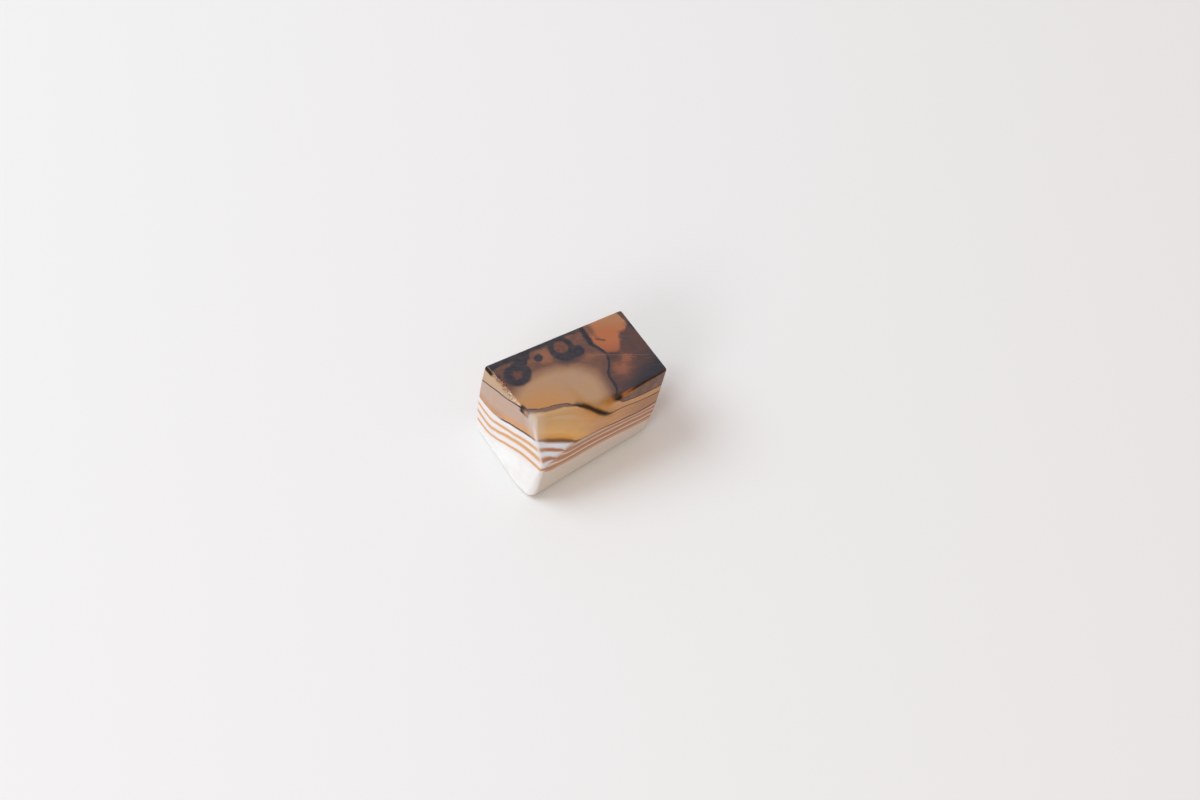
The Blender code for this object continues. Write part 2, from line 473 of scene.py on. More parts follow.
# What lies over the second dark line, and the upper line there: its height above that one and
# its half width. Near the front and the left end the upper line stands higher up to an end along
# X, and shows only from there on.
UPPER_BEGINS = (-0.05, 0.05)
SMOKY_BEGINS = (-0.05, 0.15)
UPPER_LINE = 2.3
UPPER_LIFT = 3.0
UPPER_HALF_WIDTH = 0.2
NEAR_FRONT = (-9.0, 3.0)
NEAR_LEFT = (-13.0, -8.0)
LIFT_ENDS = (4.0, 7.6)
SHOWS_FROM = (6.0, 8.0)

# The dark lines: each one's half width at places X, and where its look changes along X or Y
FIRST_HALF_WIDTH = (
    (-21.0, -18.0, -15.5, -9.5, -7.5, -5.0, 2.0, 8.0, 20.0),
    (0.26, 0.25, 0.48, 0.52, 0.28, 0.10, 0.12, 0.20, 0.20),
)
FIRST_BROWNS = (-9.0, -4.0)
FIRST_FADES = (2.0, 6.5)
SECOND_HALF_WIDTH = (
    (-20.0, -17.0, -15.0, -6.5, -5.0, -3.5, 0.5, 2.5, 4.0, 20.0),
    (0.20, 0.17, 0.05, 0.05, 0.17, 0.50, 0.85, 0.60, 0.21, 0.22),
)
SECOND_PURPLES = (-6.0, -4.0)
# Warm halos: one over the first line, with its height above that line, its half width and its
# end along X, and one around the thick part of the second line
FIRST_HALO = (0.7, 0.9)
FIRST_HALO_ENDS = (-10.0, -5.0)
SECOND_HALO = 1.5
THICK_STARTS = (-4.8, -2.0)
THICK_ENDS = (3.0, 6.0)

# Noise that gives the marks of the top uneven outlines: its scale, and how far it moves them;
# for the torn cloud at the right also its detail
MARK_WAVER = ((0.28, 1.1), (1.2, 0.45))
CLOUD_WAVER = (0.55, 4.2, 3.0)
# Spots of the top: centre and radii of each, along X and Y, and the shares of the radii between
# which it fades
LEFT_SPOTS = {
    "fawn": ((-2.2, 8.6), (2.6, 3.2), (0.4, 1.1)),
    "corner": ((-15.9, 9.0), (1.2, 3.0), (0.3, 1.2)),
    "streak": ((-13.2, 12.1), (3.8, 0.8), (0.5, 1.2)),
    "under_eye": ((3.8, 4.6), (5.0, 3.2), (0.5, 1.1)),
    "core": ((3.5, 8.6), (2.0, 2.2), (0.75, 1.15)),
    "dot": ((-3.5, 9.2), (1.3, 1.4), (0.75, 1.2)),
}
PATCH_SPOTS = {
    "shade": ((12.8, 9.6), (1.9, 3.4), (0.4, 1.2)),
    "dash": ((13.6, 4.4), (1.6, 1.6), (0.6, 1.1)),
}
FRONT_SPOTS = {
    "glow": ((2.4, -14.2), (4.2, 1.9), (0.3, 1.1)),
    "glow_core": ((4.0, -14.4), (2.4, 1.7), (0.2, 1.1)),
    "far_glow": ((9.0, -14.9), (3.0, 1.0), (0.5, 1.1)),
    "wedge": ((6.2, -14.3), (2.1, 2.0), (0.4, 1.1)),
}
# The honey window: centre and radii, and the shares of the radii where it turns brown, where it
# ends and where the fawn mottle behind it begins
WINDOW = ((-8.0, -6.5), (15.2, 11.8))
WINDOW_BROWNS = (0.72, 1.04)
WINDOW_ENDS = (0.96, 1.12)
FAWN_BEGINS = (1.02, 1.2)
# The eyes and the rust cloud, each of two ovals that flow together: centre and radii of each
# oval, how softly they join, and the shares of the radii where the outline and the rust fade
LEFT_EYE = ((-11.4, 7.6), (4.0, 3.95))
LEFT_EYE_NECK = ((-8.2, 10.9), (1.9, 1.9))
LEFT_EYE_JOIN = 0.3
LEFT_EYE_RIM = (0.86, 1.12)
LEFT_EYE_RUST = (0.05, 0.50)
LEFT_EYE_SPECKS = (0.3, 0.6)
RIGHT_EYE = ((3.4, 8.2), (3.6, 4.9))
RIGHT_EYE_TAIL = ((6.2, 5.1), (2.3, 2.0))
RIGHT_EYE_JOIN = 0.35
RIGHT_EYE_RIM = (0.86, 1.10)
CLOUD = ((12.6, -6.8), (2.8, 2.8))
CLOUD_ARM = ((15.6, -5.0), (2.4, 1.7))
CLOUD_JOIN = 0.3
CLOUD_RIM = (0.1, 1.5)
# The warmer honey beside the second dark line: height above that line, and its end along X
WARM_HONEY = (-0.4, 2.4)
WARM_ENDS = (-13.0, 9.0)
# The slate band along the back: its near limit along Y at places X
SLATE_LIMIT = (
    (-18.0, -13.0, -9.5, -6.0, -4.3, -1.0, 7.0, 11.0, 24.0),
    (12.4, 11.2, 10.5, 10.4, 12.0, 11.5, 10.9, 10.1, 9.8),
)
SLATE_BLUR = (-0.6, 0.6)

# The vein that parts the top: its place X at places Y, its half width, which grows towards the
# back, and the smoke on its left side
VEIN = (
    (-14.5, -13.2, -12.0, -10.0, -8.0, -6.0, -4.0, -2.0, -0.5, 1.0, 3.0, 5.0, 8.0, 12.0),
    (5.4, 6.0, 7.2, 7.8, 8.0, 8.7, 10.4, 11.5, 11.9, 11.8, 11.3, 11.0, 11.3, 11.7),
)
VEIN_BLUR = (-0.2, 0.2)
VEIN_HALF_WIDTH = 0.36
VEIN_GROWTH = 0.34
VEIN_GROWS = (0.0, 6.0)
SMOKE_STARTS = (-3.4, -0.4)
SMOKE_ENDS = (0.0, 0.6)

# The patch right of the vein: its near edge along Y at places X, and its torn right part
PATCH_EDGE = (
    (10.0, 12.2, 13.5, 15.3, 16.5, 18.0, 20.0, 22.5, 25.0),
    (0.8, -0.4, -1.1, -1.6, -0.3, 1.4, 2.6, 4.2, 5.0),
)
PATCH_BLUR = (-0.9, 1.2)
PATCH_TORN = (16.0, 19.0)
TEAR_DEPTH = 5.0
# Its colours change with X times a slant plus Y: dim at the near end and pale at the far one
PATCH_SLANT = 0.6
PATCH_PALES = (15.0, 22.0)
PATCH_BRIGHTENS = (6.0, 13.0)
# Its dark lip, the short dash across it and the smear beside the vein
LIP_OFFSET = 0.3
LIP_HALF_WIDTH = 0.35
LIP_ENDS = (14.0, 16.0)
DASH_WAY = (0.73, 0.68)
DASH_PLACE = 13.0
DASH_HALF_WIDTH = 0.34
SMEAR_PLACE = 13.3
SMEAR_HALF_WIDTH = 0.5
SMEAR_STARTS = (3.8, 5.2)
SMEAR_ENDS = (9.5, 11.5)
# The dusk of the near right corner and the dark rim of the right end, both along slanting lines
DUSK_SLANT = 0.45
DUSK = (14.8, 21.2)
RIM_SLANT = 0.08
RIM = (23.1, 23.7)

# The healed crack across the vein: its fall along X, its place Y at the middle, and its two
# parts: half width, start and end along X
CRACK_SLANT = 0.697
CRACK_PLACE = 7.58
HEALED_PART = (0.7, (6.0, 8.5), (10.5, 13.0))
HAIR_PART = (0.09, (6.5, 8.0), (20.5, 22.0))

# How far down the marks of the top reach: the height where they fade out, how uneven that is,
# and how far in from the sides they begin
MARKS_FADE = (20.2, 22.2)
MARKS_UNEVEN = 1.5
MARKS_INSET = (0.1, 0.7)

# The fracture: where along Y its bright crumbs end
CRUMBS_END = (2.5, 7.0)

# Marks beside the chipped edge. The seam and the dark end: depth under the left end, stretch
# along Y, and height. The blot and its glow: centre and radii, along Y and in depth, and fading
# shares; they lean back with depth, and stand at their places along Y at the depth BLOT_DEPTH.
SEAM_DEPTH = 0.85
SEAM_HALF_WIDTH = 0.3
SEAM_STARTS = (4.4, 6.0)
SEAM_STOPS = (10.2, 11.0)
SEAM_HEIGHT = (20.6, 21.2)
DARK_END = (11.2, 12.2)
DARK_END_DEPTH = (0.35, 0.6)
DARK_END_HEIGHT = (21.05, 21.3)
BLOT_DEPTH = 0.4
BLOT_HEIGHT = (20.7, 21.1)
BLOT_PURPLES = (0.3, 0.8)
BLOT = ((-3.4, 0.35), (2.0, 0.75))
BLOT_SPOTS = {
    "blot": (*BLOT, (0.7, 1.2)),
    "dull": (*BLOT, (0.8, 1.2)),
    "glow": ((-4.1, 0.25), (1.0, 0.35), (0.4, 1.2)),
}

# Spots under the front edge of the top: centre and radii of each, along X and Z, and fading
# shares; then how far back they reach, and the height, half width and start of the dark seam
FRONT_EDGE_SPOTS = {
    "glow": ((3.6, 21.6), (3.2, 1.1), (0.3, 1.1)),
    "far_glow": ((9.2, 21.5), (3.6, 0.8), (0.4, 1.1)),
    "wedge": ((6.1, 21.4), (1.6, 1.1), (0.4, 1.1)),
}
FRONT_SKIN = (-14.1, -13.6)
FRONT_SEAM_HEIGHT = 21.75
FRONT_SEAM_HALF_WIDTH = 0.26
FRONT_SEAM_STARTS = (8.0, 12.0)

# The polish: depths under the corner flat where its frost and its pale surround end, the height
# that the surround starts at, and the same for the pale ridge between left end and window. The
# frost is a rougher finish; the pale of it and of the surround is painted reflection, and the
# pale ridge is a painted highlight
FROST_DEPTH = (0.05, 0.22)
SURROUND_DEPTH = (0.1, 1.6)
SURROUND_HEIGHT = (11.0, 14.0)
RIDGE_HIGHLIGHT_DEPTH = (0.25, 0.6)
RIDGE_HIGHLIGHT_HEIGHT = (8.0, 11.0)
# Scratches run along the camera's side: how far they are stretched, how closely they are packed,
# and the noise levels where they start and are full
SCRATCH_STRETCH = 0.1
SCRATCH_PACKING = 5.0
SCRATCH_LEVELS = (0.60, 0.70)
# Roughness of the polish, with what the noise, the scratches and the dull marks add to it; how
# far the dull marks lower the gloss; and the relief, with what the scratches take from it
POLISH_ROUGHNESS = 0.07
UNEVEN_ROUGHNESS = 0.06
SCRATCH_ROUGHNESS = 0.10
DULL_ROUGHNESS = 0.38
POLISH_GLOSS = 0.5
DULL_GLOSS_LOSS = 0.42
RELIEF_STRENGTH = 0.12
RELIEF_DEPTH = 0.02
SCRATCH_RELIEF = 0.4

# The depths under the left end and the window between which the inside of the stone shows
INNER_DEPTH = (0.1, 0.6)
FRONTAL_LEFT_DEPTH = (0.5, 2.0)
FRONTAL_WINDOW_DEPTH = (0.1, 0.9)

# How agate bends light and lets a little of it through
AGATE_IOR = 1.54
GLOW_UNDER_SURFACE = 0.12
GLOW_COLOUR_REACH = (1.0, 0.6, 0.35)
GLOW_DISTANCE = 1.0

# Colours of the layers, the marks and the fracture, as the stone has them in even light
WHITE = (0.87, 0.87, 0.88)
MILK = (0.80, 0.75, 0.77)
CREAM = (0.65, 0.57, 0.50)
MILK_BLUE = (0.74, 0.77, 0.85)
# Pale of the corner flat and its surround: a painted reflection over a frosted finish
FROST_AND_REFLECTION = (0.66, 0.62, 0.57)
ORANGE_LINE = (0.66, 0.34, 0.12)
RED_LINE = (0.44, 0.175, 0.080)
PINK_BROWN = (0.50, 0.30, 0.20)
THREAD = (0.72, 0.58, 0.49)
ASHEN = (0.50, 0.39, 0.30)
DARK_LINE = (0.032, 0.015, 0.007)
BROWN_LINE = (0.215, 0.084, 0.026)
PURPLE_LINE = (0.085, 0.048, 0.045)
BEIGE = (0.485, 0.338, 0.272)
PEACH = (0.62, 0.30, 0.12)
OCHRE = (0.48, 0.235, 0.095)
AMBER = (0.645, 0.38, 0.16)
AMBER_DEEP = (0.82, 0.42, 0.08)
AMBER_DULL = (0.55, 0.33, 0.15)
BRONZE = (0.58, 0.285, 0.115)
BRONZE_DULL = (0.42, 0.205, 0.105)
TAN = (0.50, 0.33, 0.21)
HONEY = (0.43, 0.245, 0.122)
HONEY_GREY = (0.40, 0.243, 0.143)
HONEY_WARM = (0.50, 0.222, 0.055)
TAN_BROWN = (0.24, 0.112, 0.055)
CARAMEL = (0.26, 0.098, 0.046)
HALO = (0.130, 0.055, 0.031)
SLATE = (0.013, 0.012, 0.017)
SLATE_WARM = (0.032, 0.023, 0.025)
MAUVE = (0.092, 0.037, 0.023)
PATCH = (0.42, 0.125, 0.038)
PATCH_PALE = (0.39, 0.18, 0.076)
PATCH_DIM = (0.30, 0.085, 0.030)
RUST = (0.130, 0.044, 0.024)
RUST_BRIGHT = (0.26, 0.086, 0.038)
STRIP = (0.20, 0.105, 0.060)
GLOW = (0.36, 0.105, 0.012)
AMBER_GLOW = (0.42, 0.180, 0.024)
FRACTURE = (0.47, 0.265, 0.120)
GLITTER = (0.72, 0.60, 0.45)


class Texture:
    """Short names for the shader nodes of one material or world."""

    def __init__(self, owner):
        self.tree = owner.node_tree
        self.shader = self.tree.nodes.get("Principled BSDF")
        self.colour = None

    def feed(self, socket, value):
        if isinstance(value, bpy.types.NodeSocket):
            self.tree.links.new(value, socket)
        elif socket.type == "RGBA" and len(value) == 3:
            socket.default_value = (*value, 1.0)
        else:
            socket.default_value = value

    def put(self, kind, inputs, output=0, **settings):
        """Adds a node, feeds it and returns one of its outputs."""
        made = self.tree.nodes.new("ShaderNode" + kind)
        for name, value in settings.items():
            setattr(made, name, value)
        for key, value in inputs.items():
            self.feed(made.inputs[key], value)
        return made.outputs[output]

    def math(self, operation, *values):
        return self.put("Math", dict(enumerate(values)), operation=operation)

    def add(self, first, second):
        return self.math("ADD", first, second)

    def less(self, first, second):
        return self.math("SUBTRACT", first, second)

    def times(self, first, second):
        return self.math("MULTIPLY", first, second)

    def rise(self, value, low, high):
        """A smooth step from 0 at low to 1 at high."""
        inputs = {"Value": value, "From Min": low, "From Max": high}
        return self.put("MapRange", inputs, interpolation_type="SMOOTHSTEP")

    def fall(self, value, low, high):
        """A smooth step from 1 at low to 0 at high."""
        inputs = {"Value": value, "From Min": low, "From Max": high, "To Min": 1.0, "To Max": 0.0}
        return self.put("MapRange", inputs, interpolation_type="SMOOTHSTEP")

    def between(self, value, start, end):
        """1 from a soft start to a soft end, each of them two values."""
        return self.times(self.rise(value, *start), self.fall(value, *end))

    def along(self, place, way):
        """How far a place lies along a direction."""
        return self.put("VectorMath", {0: place, 1: tuple(way)}, "Value", operation="DOT_PRODUCT")

    def within(self, value, half_width, softness=0.5):
        """1 on a line, and 0 from half its width on, with soft sides."""
        near = self.math("DIVIDE", self.math("ABSOLUTE", value), half_width)
        return self.fall(near, 1.0 - softness, 1.0 + softness)

    def mix(self, share, first, second):
        return self.put("Mix", {0: share, 6: first, 7: second}, output=2, data_type="RGBA")

    def coat(self, share, colour):
        """Lays a colour over what is there."""
        self.colour = self.mix(share, self.colour, colour)

    def noise(self, vector, scale, detail=2.0, output="Fac"):
        inputs = {"Vector": vector, "Scale": scale, "Detail": detail}
        return self.put("TexNoise", inputs, output)

    def shaken(self, vector, scale, amount, detail=2.0):
        """A place moved about by noise, so that what is drawn there has an uneven outline."""
        colour = self.noise(vector, scale, detail, "Color")
        centred = self.put("VectorMath", {0: colour, 1: (0.5, 0.5, 0.5)}, operation="SUBTRACT")
        inputs = {0: centred, 1: (amount, amount, amount), 2: vector}
        return self.put("VectorMath", inputs, operation="MULTIPLY_ADD")

    def wavering(self, vector, steps):
        """A place shaken by several noises in turn."""
        for scale, amount in steps:
            vector = self.shaken(vector, scale, amount)
        return vector

    def mottle(self, place, name):
        """One of the mottles of the stone, from 0 to 1."""
        scale, detail, low, high = MOTTLES[name]
        return self.rise(self.noise(place, scale, detail), low, high)

    def apart(self, vector):
        """The three numbers of a place."""
        split = self.tree.nodes.new("ShaderNodeSeparateXYZ")
        self.feed(split.inputs[0], vector)
        return split.outputs

    def profile(self, value, stations, heights):
        """A smooth curve through the heights at these stations."""
        low, high = min(heights), max(heights)
        first, last = stations[0], stations[-1]
        along = self.put("MapRange", {"Value": value, "From Min": first, "From Max": last})
        node = self.tree.nodes.new("ShaderNodeFloatCurve")
        self.tree.links.new(along, node.inputs["Value"])
        curve = node.mapping.curves[0]
        shares = [(at - first) / (last - first) for at in stations]
        places = list(zip(shares, [(height - low) / (high - low) for height in heights]))
        curve.points[0].location = places[0]
        curve.points[1].location = places[-1]
        for place in places[1:-1]:
            curve.points.new(*place)
        node.mapping.update()
        return self.math("MULTIPLY_ADD", node.outputs[0], high - low, low)

    def from_centre(self, x, y, centre, radii):
        """The distance from a mark's centre, counted in its radii."""
        across = self.math("DIVIDE", self.less(x, centre[0]), radii[0])
        along = self.math("DIVIDE", self.less(y, centre[1]), radii[1])
        square = self.add(self.times(across, across), self.times(along, along))
        return self.math("SQRT", square)

    def from_pair(self, x, y, first, second, join):
        """The distance from the centres of two ovals that flow together."""
        ovals = [self.from_centre(x, y, *oval) for oval in (first, second)]
        return self.math("SMOOTH_MIN", *ovals, join)

    def spots(self, x, y, marks):
        """Each of these marks by its name: 1 inside it and 0 outside."""
        found = {}
        for name, (centre, radii, rim) in marks.items():
            found[name] = self.fall(self.from_centre(x, y, centre, radii), *rim)
        return found


def find_layers(t, x, y, z):
    """The height above each layer, and one scale that counts them, 1 at the first line."""
    behind = t.less(1.0, t.times(t.rise(y, *DROP_LESSENS), 1.0 - DROP_BEHIND))
    above = {}
    count = 0.0
    lower = None
    for name, (left, front) in LAYERS.items():
        drop = t.times(t.profile(x, *zip(*front)), behind)
        height = t.add(t.profile(y, LEFT_STATIONS, left), drop)
        above[name] = t.less(z, height)
        under = t.less(height, LAYER_BELOW) if lower is None else lower
        count = t.add(count, t.put("MapRange", {"Value": z, "From Min": under, "From Max": height}))
        lower = height
    return above, count


def depth_below(t, place, *flats):
    """How deep a place lies below the nearest of these flats."""
    depths = [t.less(reach, t.along(place, way)) for way, reach in flats]
    nearest = depths[0]
    for depth in depths[1:]:
        nearest = t.math("MINIMUM", nearest, depth)
    return nearest


def paint_pale_layers(t, place, x, above, count, frontal, inner):
    """The white base, and the milky layers with their lines."""
    base = t.mix(t.times(t.mottle(place, "base"), 0.25), WHITE, CREAM)
    t.colour = t.mix(t.times(frontal, 0.9), base, CREAM)
    wisps = t.noise(t.put("CombineXYZ", {2: t.times(count, WISP_PACKING)}), 1.0, 3.0)
    milk = t.mix(t.times(t.rise(wisps, 0.45, 0.75), 0.3), t.mix(inner, MILK, MILK_BLUE), CREAM)
    milk = t.mix(frontal, milk, t.mix(t.rise(wisps, 0.35, 0.7), PINK_BROWN, RED_LINE))
    blush = t.rise(above["line_1"], *BLUSH_UNDER)
    t.coat(t.times(blush, t.add(0.6, t.times(frontal, 0.2))), t.mix(frontal, MILK, PINK_BROWN))
    t.coat(t.rise(count, *MILK_BEGINS), milk)
    for at, half in THREADS:
        t.coat(t.times(t.within(t.less(count, at), half, 0.7), frontal), THREAD)
    at, half = ASHEN_THREAD
    ashen = t.times(t.within(t.less(count, at), half, 0.7), t.fall(x, *ASHEN_ENDS))
    t.coat(t.times(ashen, t.times(frontal, 0.75)), ASHEN)
    for name, (outside, inside) in LINE_HALF_WIDTHS.items():
        half = t.add(outside, t.times(frontal, inside - outside))
        t.coat(t.within(above[name], half, 0.7), t.mix(inner, ORANGE_LINE, RED_LINE))
    faint = t.within(t.add(above["line_1"], FAINT_DROP), FAINT_HALF_WIDTH, 0.9)
    t.coat(t.times(faint, t.times(frontal, 0.6)), RED_LINE)


def paint_honey_layer(t, place, x, y, above, count, inner):
    """The clear layer between the dark lines: beige at the left end, amber inside."""
    stretched = {0: t.times(x, SILK_STRETCH), 2: t.times(count, SILK_PACKING)}
    silk = t.noise(t.put("CombineXYZ", stretched), 1.0, 4.0)
    deep = t.fall(above["dark_1"], *DEEP_HONEY)
    beige = t.mix(deep, BEIGE, t.mix(t.rise(y, *PEACH_TO_OCHRE), PEACH, OCHRE))
    amber = t.mix(t.rise(count, *AMBER_DULLS), AMBER, AMBER_DULL)
    amber = t.mix(deep, amber, AMBER_DEEP)
    bronze = t.mix(t.rise(x, *BRONZE_DULLS), BRONZE, BRONZE_DULL)
    amber = t.mix(t.rise(x, *AMBER_TO_BRONZE), amber, bronze)
    honey = t.mix(inner, beige, amber)
    honey = t.mix(t.times(t.rise(silk, 0.5, 0.75), 0.22), honey, CREAM)
    honey = t.mix(t.times(t.mottle(place, "honey_layer"), 0.3), honey, BRONZE)
    t.coat(t.rise(count, *HONEY_BEGINS), honey)
    strip = t.times(t.rise(above["dark_2"], *STRIP_UNDER), t.fall(x, *STRIP_ENDS))
    t.coat(t.times(strip, inner), STRIP)


def paint_above(t, place, x, y, above, upper, inner):
    """What lies over the second dark line, as the sides show it."""
    t.coat(upper, t.mix(inner, TAN, BRONZE))
    smoky = t.mix(t.mottle(place, "smoky"), TAN_BROWN, HALO)
    beside = t.math("MAXIMUM", t.fall(y, *NEAR_FRONT), t.fall(x, *NEAR_LEFT))
    lift = t.times(t.times(t.fall(x, *LIFT_ENDS), beside), UPPER_LIFT)
    past = t.less(above["dark_2"], t.add(UPPER_LINE, lift))
    t.coat(t.times(upper, t.rise(past, *SMOKY_BEGINS)), smoky)
    hidden = t.times(t.fall(x, *SHOWS_FROM), beside)
    t.coat(t.times(t.within(past, UPPER_HALF_WIDTH, 0.8), t.less(1.0, hidden)), SLATE)


def left_of_vein(t, place, u, v, above):
    """The honey window of the top, and the eyes in the smoky stone behind it."""
    spots = t.spots(u, v, LEFT_SPOTS)
    honey = t.mix(t.mottle(place, "honey"), HONEY, HONEY_GREY)
    warm = t.times(t.fall(above["dark_2"], *WARM_HONEY), t.fall(u, *WARM_ENDS))
    honey = t.mix(warm, honey, HONEY_WARM)
    window = t.from_centre(u, v, *WINDOW)
    colour = t.mix(t.rise(window, *WINDOW_BROWNS), honey, TAN_BROWN)
    colour = t.mix(t.rise(window, *WINDOW_ENDS), colour, HALO)
    fawn = t.times(t.mottle(place, "fawn"), t.rise(window, *FAWN_BEGINS))
    colour = t.mix(t.times(fawn, 0.5), colour, CARAMEL)
    colour = t.mix(spots["fawn"], colour, CARAMEL)
    colour = t.mix(t.times(spots["corner"], 0.55), colour, SLATE_WARM)
    slate = t.mix(t.mottle(place, "slate"), SLATE, SLATE_WARM)
    past = t.less(v, t.profile(u, *SLATE_LIMIT))
    colour = t.mix(t.rise(past, *SLATE_BLUR), colour, slate)
    ring = t.from_pair(u, v, LEFT_EYE, LEFT_EYE_NECK, LEFT_EYE_JOIN)
    colour = t.mix(t.fall(ring, *LEFT_EYE_RIM), colour, slate)
    colour = t.mix(spots["streak"], colour, HALO)
    eye = t.from_centre(u, v, *LEFT_EYE)
    specks = t.times(t.fall(eye, *LEFT_EYE_SPECKS), t.mottle(place, "specks"))
    rust = t.add(t.fall(eye, *LEFT_EYE_RUST), specks)
    colour = t.mix(t.math("MINIMUM", rust, 0.9), colour, RUST)
    colour = t.mix(t.times(spots["under_eye"], 0.6), colour, SLATE_WARM)
    ring = t.from_pair(u, v, RIGHT_EYE, RIGHT_EYE_TAIL, RIGHT_EYE_JOIN)
    colour = t.mix(t.fall(ring, *RIGHT_EYE_RIM), colour, slate)
    core = t.mix(t.mottle(place, "core"), RUST, t.mix(0.35, RUST, CARAMEL))
    colour = t.mix(spots["core"], colour, core)
    return t.mix(spots["dot"], colour, slate)


def orange_patch(t, u, v, shade):
    """The patch's own colours, pale at its far end and dim at its near one."""
    slant = t.add(t.times(u, PATCH_SLANT), v)
    patch = t.mix(t.rise(slant, *PATCH_PALES), PATCH, PATCH_PALE)
    patch = t.mix(t.fall(slant, *PATCH_BRIGHTENS), patch, PATCH_DIM)
    return t.mix(t.times(shade, 0.75), patch, HALO)


def right_of_vein(t, place, u, v):
    """The mauve stone at the right, with the orange patch towards the far corner."""
    colour = t.mix(t.mottle(place, "mauve"), MAUVE, t.mix(0.5, MAUVE, SLATE_WARM))
    torn_u, torn_v, _ = t.apart(t.shaken(place, *CLOUD_WAVER))
    rust = t.from_pair(torn_u, torn_v, CLOUD, CLOUD_ARM, CLOUD_JOIN)
    colour = t.mix(t.times(t.fall(rust, *CLOUD_RIM), 0.95), colour, RUST_BRIGHT)
    dusk = t.rise(t.less(t.times(u, DUSK_SLANT), v), *DUSK)
    colour = t.mix(dusk, colour, SLATE)
    past = t.less(v, t.profile(u, *PATCH_EDGE))
    tear = t.times(t.less(t.noise(place, 0.5, 3.0), 0.62), TEAR_DEPTH)
    past = t.add(past, t.times(t.rise(u, *PATCH_TORN), tear))
    spots = t.spots(u, v, PATCH_SPOTS)
    colour = t.mix(t.rise(past, *PATCH_BLUR), colour, orange_patch(t, u, v, spots["shade"]))
    lip = t.times(t.within(t.add(past, LIP_OFFSET), LIP_HALF_WIDTH, 0.8), t.fall(u, *LIP_ENDS))
    colour = t.mix(t.times(lip, 0.7), colour, SLATE)
    dash = t.add(t.times(v, DASH_WAY[1]), t.times(u, DASH_WAY[0]))
    dash = t.within(t.less(dash, DASH_PLACE), DASH_HALF_WIDTH, 0.7)
    colour = t.mix(t.times(t.times(dash, spots["dash"]), 0.7), colour, SLATE)
    smear = t.within(t.less(u, SMEAR_PLACE), SMEAR_HALF_WIDTH, 0.9)
    smear = t.times(smear, t.between(v, SMEAR_STARTS, SMEAR_ENDS))
    colour = t.mix(t.times(smear, 0.45), colour, HALO)
    rim = t.rise(t.add(u, t.times(v, RIM_SLANT)), *RIM)
    return t.mix(t.times(rim, 0.8), colour, SLATE)


def paint_top(t, place, z, above, upper, side_depth):
    """The marks of the top face, which run a few millimetres down into the stone."""
    u, v, _ = t.apart(t.wavering(place, MARK_WAVER))
    vein = t.less(u, t.profile(v, *VEIN))
    left = left_of_vein(t, place, u, v, above)
    colour = t.mix(t.rise(vein, *VEIN_BLUR), left, right_of_vein(t, place, u, v))
    smoke = t.times(t.between(vein, SMOKE_STARTS, SMOKE_ENDS), 0.75)
    colour = t.mix(smoke, colour, t.mix(0.3, HALO, SLATE_WARM))
    half = t.add(VEIN_HALF_WIDTH, t.times(t.rise(v, *VEIN_GROWS), VEIN_GROWTH))
    colour = t.mix(t.within(vein, half, 0.6), colour, SLATE)
    crack = t.less(t.add(v, t.times(u, CRACK_SLANT)), CRACK_PLACE)
    crack = t.math("DIVIDE", crack, hypot(1.0, CRACK_SLANT))
    half, start, end = HEALED_PART
    healed = t.times(t.within(crack, half, 0.9), t.between(u, start, end))
    colour = t.mix(t.times(healed, 0.4), colour, CARAMEL)
    half, start, end = HAIR_PART
    hair = t.times(t.within(crack, half, 0.8), t.between(u, start, end))
    colour = t.mix(t.times(hair, 0.3), colour, PATCH_PALE)
    spots = t.spots(u, v, FRONT_SPOTS)
    colour = t.mix(t.times(spots["glow"], 0.85), colour, AMBER_GLOW)
    colour = t.mix(t.times(spots["glow_core"], 0.6), colour, GLOW)
    colour = t.mix(spots["far_glow"], colour, GLOW)
    colour = t.mix(spots["wedge"], colour, DARK_LINE)
    high = t.rise(t.add(z, t.times(t.noise(place, 0.3), MARKS_UNEVEN)), *MARKS_FADE)
    t.coat(t.times(t.times(upper, high), t.rise(side_depth, *MARKS_INSET)), colour)


def paint_fracture(t, place, broken):
    """The fresh stone in the chips of the edge, with a few bright crumbs."""
    t.coat(t.times(broken, 0.85), t.mix(t.mottle(place, "fracture"), FRACTURE, TAN_BROWN))
    _, y, _ = t.apart(place)
    crumbs = t.times(t.mottle(place, "crumbs"), t.fall(y, *CRUMBS_END))
    t.coat(t.times(broken, t.times(crumbs, 0.9)), GLITTER)


def paint_dark_lines(t, x, y, above, inner):
    """The two dark lines with their halos; returns where they are dull."""
    thick = t.between(x, THICK_STARTS, THICK_ENDS)
    halo = t.within(above["dark_2"], SECOND_HALO, 0.9)
    t.coat(t.times(halo, t.times(thick, 0.8)), AMBER_GLOW)
    line = t.mix(t.times(inner, t.fall(x, *SECOND_PURPLES)), DARK_LINE, PURPLE_LINE)
    second = t.within(above["dark_2"], t.profile(x, *SECOND_HALF_WIDTH), 0.7)
    t.coat(second, line)
    over, half = FIRST_HALO
    halo = t.times(t.within(t.less(above["dark_1"], over), half, 0.9), inner)
    t.coat(t.times(halo, t.times(t.fall(x, *FIRST_HALO_ENDS), 0.5)), OCHRE)
    line = t.mix(t.times(inner, t.fall(x, *FIRST_BROWNS)), DARK_LINE, BROWN_LINE)
    first = t.within(above["dark_1"], t.profile(x, *FIRST_HALF_WIDTH), 0.8)
    faded = t.times(t.rise(y, *FIRST_FADES), t.less(1.0, inner))
    t.coat(t.times(first, t.less(1.0, faded)), line)
    return t.times(second, t.times(thick, 0.7))


